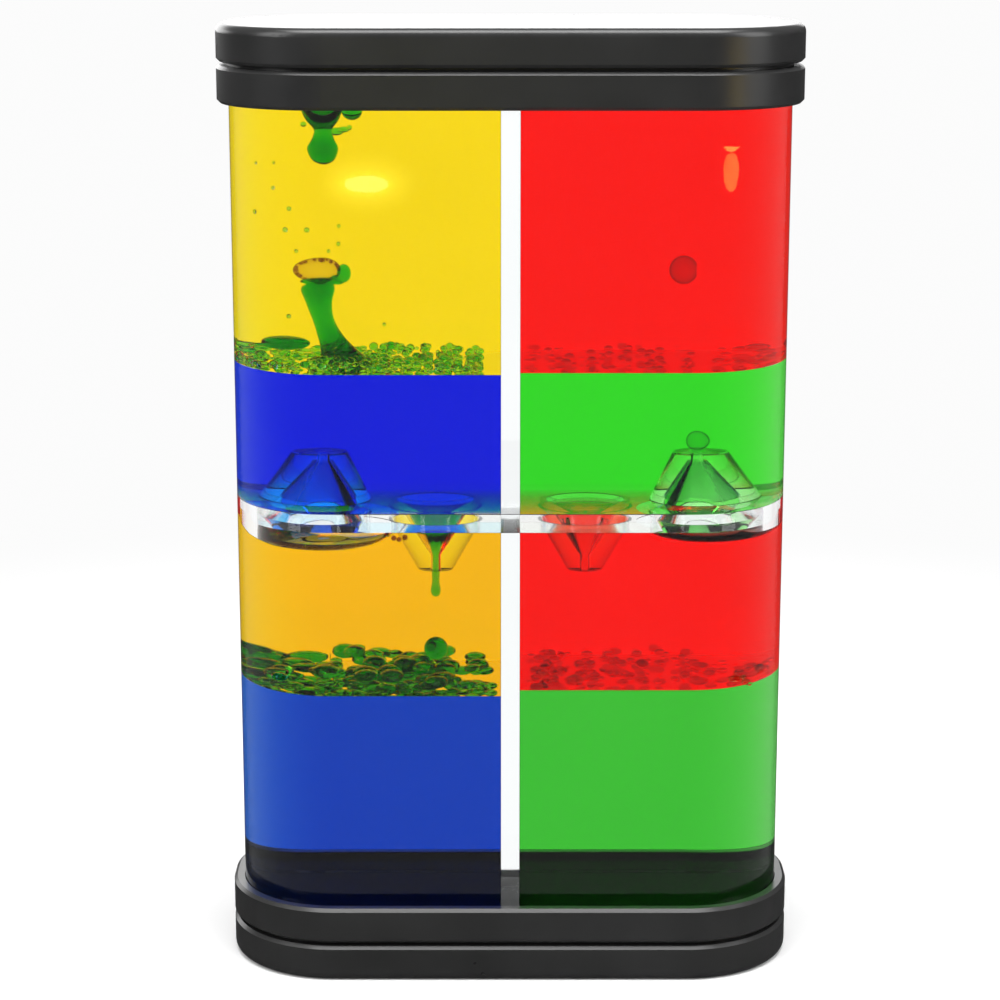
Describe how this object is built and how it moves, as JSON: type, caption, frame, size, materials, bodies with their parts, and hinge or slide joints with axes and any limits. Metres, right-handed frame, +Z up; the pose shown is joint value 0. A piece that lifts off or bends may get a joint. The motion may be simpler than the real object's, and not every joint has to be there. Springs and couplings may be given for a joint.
{
  "type": "liquid motion timer",
  "caption": "Table timer: clear rounded column between dark caps, split into cells where coloured drops rise and sink through nozzles; turned over to restart.",
  "frame": {"origin": "centre of the flat resting face under the lower cap", "axes": "+Z up along the columns, +X to the right across the two columns, -Y towards the front"},
  "size_m": [0.09, 0.038, 0.1493],
  "materials": {
    "cap_plastic": "satin moulded plastic, near black",
    "clear_acrylic": "polished clear acrylic sheet",
    "pad_foam": "black closed-cell foam",
    "plug_plastic": "white moulded plug",
    "yellow_oil": "clear yellow light liquid",
    "blue_water": "clear blue heavy liquid",
    "red_oil": "clear red light liquid",
    "green_water": "clear green heavy liquid",
    "blue_in_yellow": "blue drops, green against the yellow liquid",
    "green_in_red": "green drops, dark against the red liquid",
    "red_in_green": "red drop, olive against the green liquid",
    "bubble_air": "air bubble, bright with a dark rim"
  },
  "bodies": {
    "timer_case": {"bottom_collar": "cap_plastic", "bottom_end_plate": "clear_acrylic", "bottom_lid": "cap_plastic", "bottom_pad": "pad_foam", "case_tube": "clear_acrylic", "left_bubble_tail": "blue_in_yellow", "left_drip_nozzle": "clear_acrylic", "left_drip_stream": "blue_in_yellow", "left_fill_plug": "plug_plastic", "left_hanging_drop": "blue_in_yellow", "left_rise_nozzle": "clear_acrylic", "lower_divider": "clear_acrylic", "lower_left_drop_layer": "blue_in_yellow", "lower_left_heavy_liquid": "blue_water", "lower_left_light_liquid": "yellow_oil", "lower_right_drop_layer": "green_in_red", "lower_right_heavy_liquid": "green_water", "lower_right_light_liquid": "red_oil", "nozzle_plate": "clear_acrylic", "right_drip_nozzle": "clear_acrylic", "right_fill_plug": "plug_plastic", "right_rise_nozzle": "clear_acrylic", "top_collar": "cap_plastic", "top_end_plate": "clear_acrylic", "top_lid": "cap_plastic", "top_pad": "pad_foam", "upper_divider": "clear_acrylic", "upper_left_drop_layer": "blue_in_yellow", "upper_left_heavy_liquid": "blue_water", "upper_left_light_liquid": "yellow_oil", "upper_right_drop_layer": "green_in_red", "upper_right_heavy_liquid": "green_water", "upper_right_light_liquid": "red_oil"},
    "left_bubble_body": {"left_rising_bubble": "bubble_air"},
    "left_sinking_drop_body": {"left_sinking_drop": "blue_in_yellow"},
    "left_falling_drop_body": {"left_falling_drop": "blue_in_yellow"},
    "right_bubble_body": {"right_rising_bubble": "bubble_air"},
    "right_bud_body": {"right_budding_drop": "red_in_green"}
  },
  "joints": [
    {"name": "left_bubble_rise", "type": "slide", "parent": "timer_case", "child": "left_bubble_body", "axis": [0, 0, 1], "range_m": [0, 0.0242]},
    {"name": "left_drop_sink", "type": "slide", "parent": "timer_case", "child": "left_sinking_drop_body", "axis": [0, 0, 1], "range_m": [-0.0012, 0]},
    {"name": "left_drop_fall", "type": "slide", "parent": "timer_case", "child": "left_falling_drop_body", "axis": [0, 0, 1], "range_m": [-0.0004, 0.0063]},
    {"name": "right_bubble_rise", "type": "slide", "parent": "timer_case", "child": "right_bubble_body", "axis": [0, 0, 1], "range_m": [0, 0.024]},
    {"name": "right_bud_rise", "type": "slide", "parent": "timer_case", "child": "right_bud_body", "axis": [0, 0, 1], "range_m": [0, 0.0108]}
  ]
}
